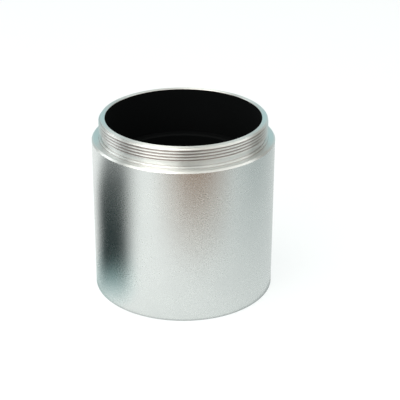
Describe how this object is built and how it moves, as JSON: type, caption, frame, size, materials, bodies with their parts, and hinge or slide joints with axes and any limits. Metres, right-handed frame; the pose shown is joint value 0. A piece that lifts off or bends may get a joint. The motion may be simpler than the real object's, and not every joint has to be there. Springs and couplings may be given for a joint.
{
  "type": "telescope extension tube",
  "caption": "Turned metal spacer tube with a threaded collar at one end and a matching threaded socket at the other, blackened inside, for spacing a camera from a telescope.",
  "frame": {"origin": "centre of the foot, at the socket end that the tube stands on", "axes": "+Z along the tube's own axis, from the socket to the threaded collar; X and Y are free, as the tube is round"},
  "size_m": [0.0456, 0.0456, 0.0452],
  "materials": {
    "satin_anodised": "bead-blasted and clear anodised outside, matt black inside"
  },
  "bodies": {
    "root": {"extension_tube": "satin_anodised"}
  },
  "joints": []
}
